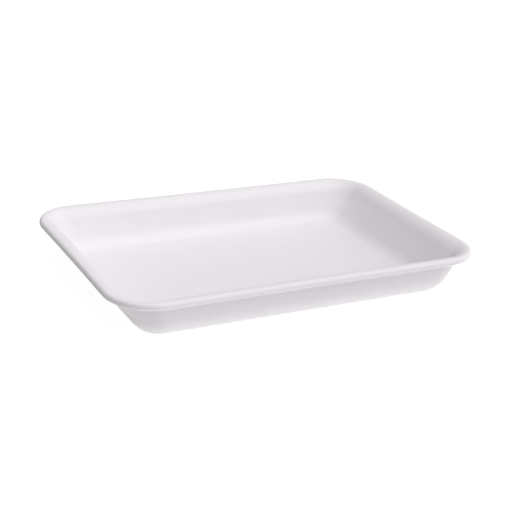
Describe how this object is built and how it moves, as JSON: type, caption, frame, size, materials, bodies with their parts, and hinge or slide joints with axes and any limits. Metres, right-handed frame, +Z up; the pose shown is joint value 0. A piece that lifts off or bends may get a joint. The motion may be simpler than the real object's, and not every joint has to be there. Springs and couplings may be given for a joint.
{
  "type": "food tray",
  "caption": "Shallow rectangular tray of white foam sheet with sloping walls, rounded corners and a rolled-out rim, for holding food.",
  "frame": {"origin": "middle of the tray's underside, on the surface that it stands on", "axes": "+X along the tray's length, +Y across it, +Z up out of its open side"},
  "size_m": [0.21, 0.14, 0.0255],
  "materials": {
    "foam": "smooth closed-cell foam, satin"
  },
  "bodies": {
    "root": {"foam_tray": "foam"}
  },
  "joints": []
}
